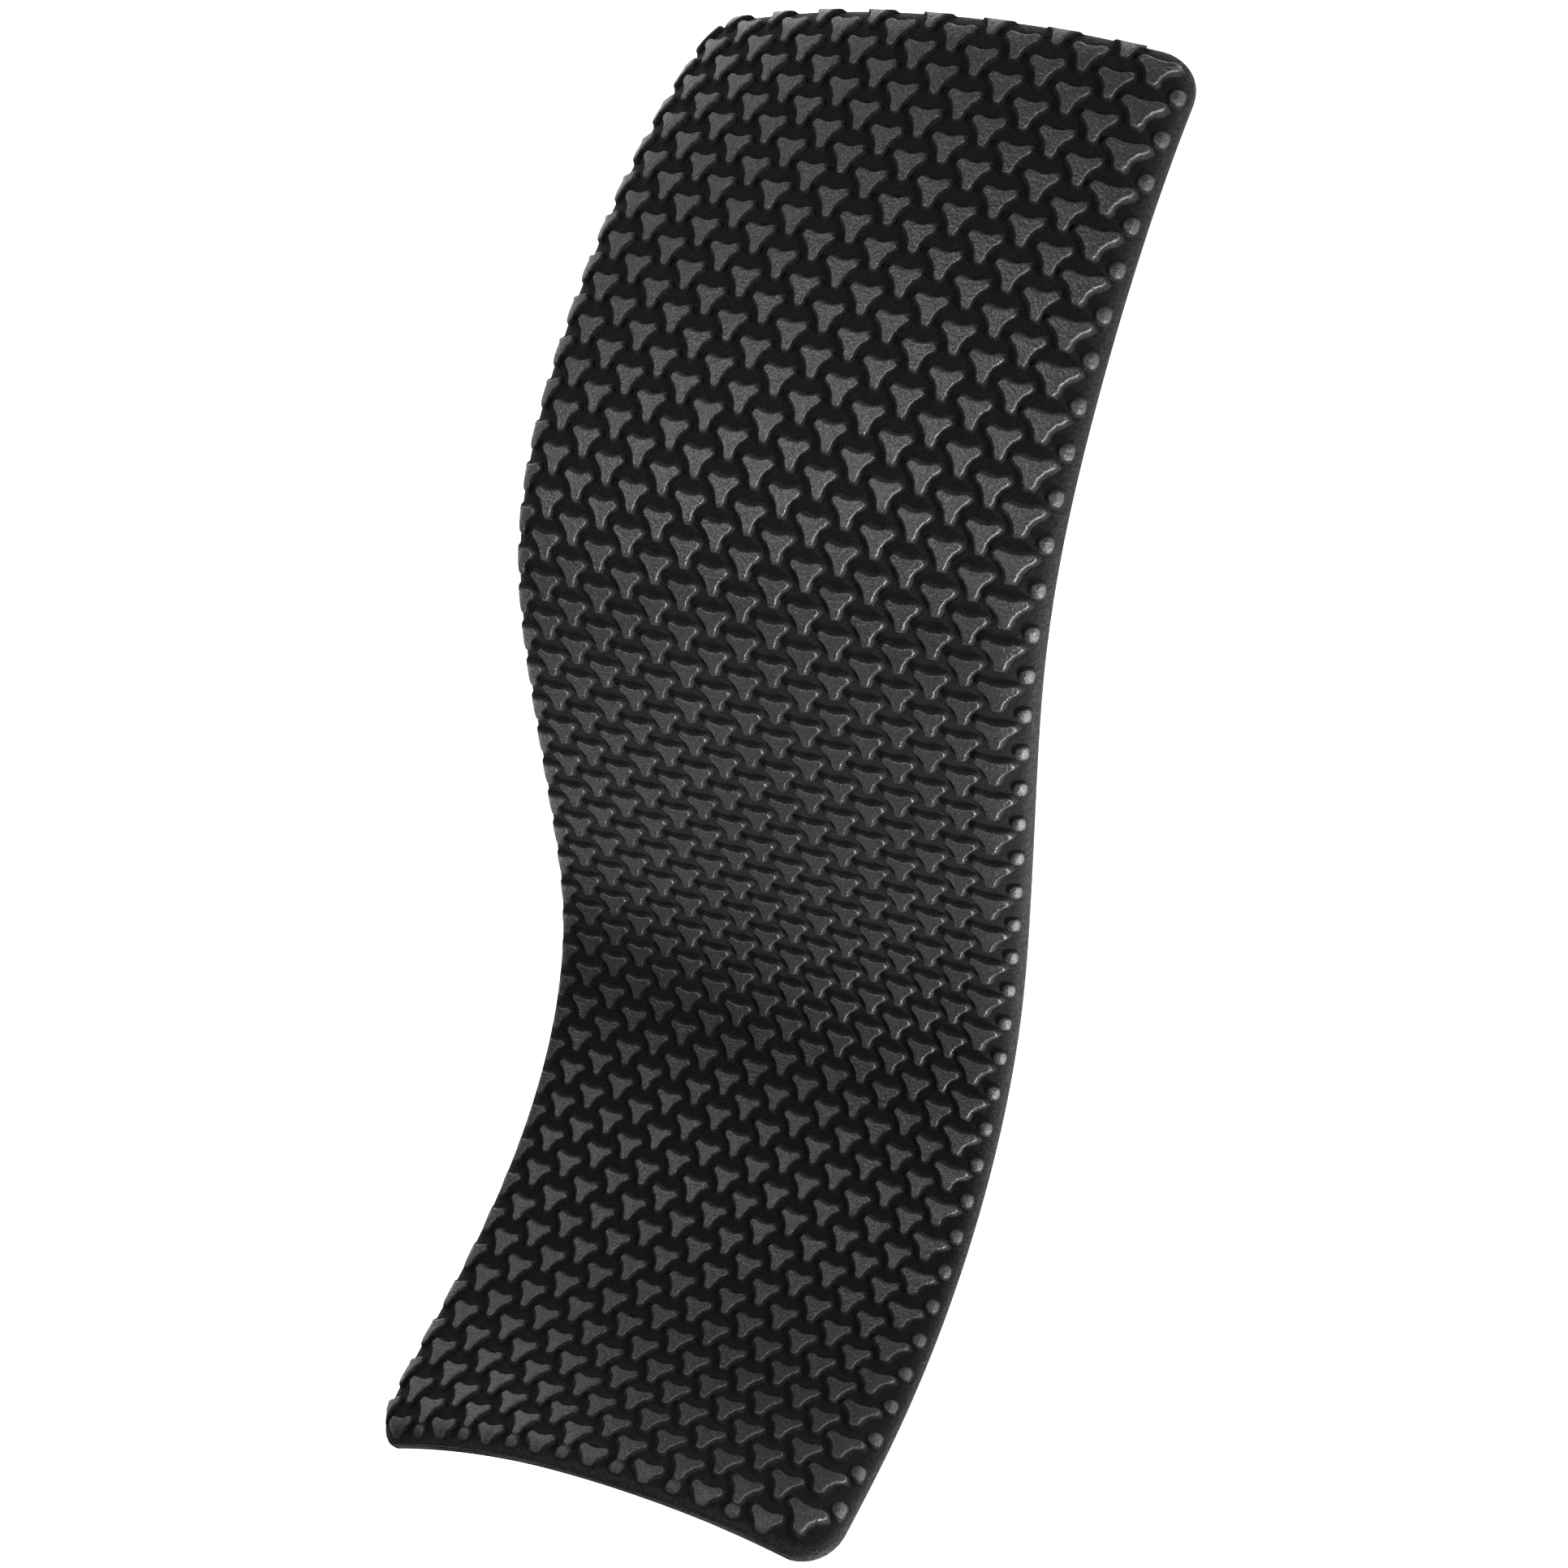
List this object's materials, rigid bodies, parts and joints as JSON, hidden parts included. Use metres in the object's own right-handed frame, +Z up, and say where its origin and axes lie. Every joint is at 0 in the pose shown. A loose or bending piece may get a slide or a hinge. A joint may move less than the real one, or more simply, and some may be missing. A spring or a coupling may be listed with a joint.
{
  "type": "balance pad",
  "caption": "Flexible wave-shaped balance and massage pad: textured rubber tread with raised three-armed stars, thin foam core and grip base sheet.",
  "frame": {"origin": "floor point below the centre of the pad's overall box, with the textured side facing up and the pad at rest on the belly of its valley and on its hump end", "axes": "+Z up; +Y along the pad towards the hump end; +X across the pad"},
  "size_m": [0.2231, 0.5277, 0.1404],
  "materials": {
    "tread_rubber": "fine grained matt black with a soft sheen",
    "core_foam": "closed-cell dark grey foam, matt",
    "base_rubber": "smooth matt black grip sheet"
  },
  "bodies": {
    "root": {"tread_sheet": "tread_rubber", "foam_core": "core_foam", "base_sheet": "base_rubber"}
  },
  "joints": []
}
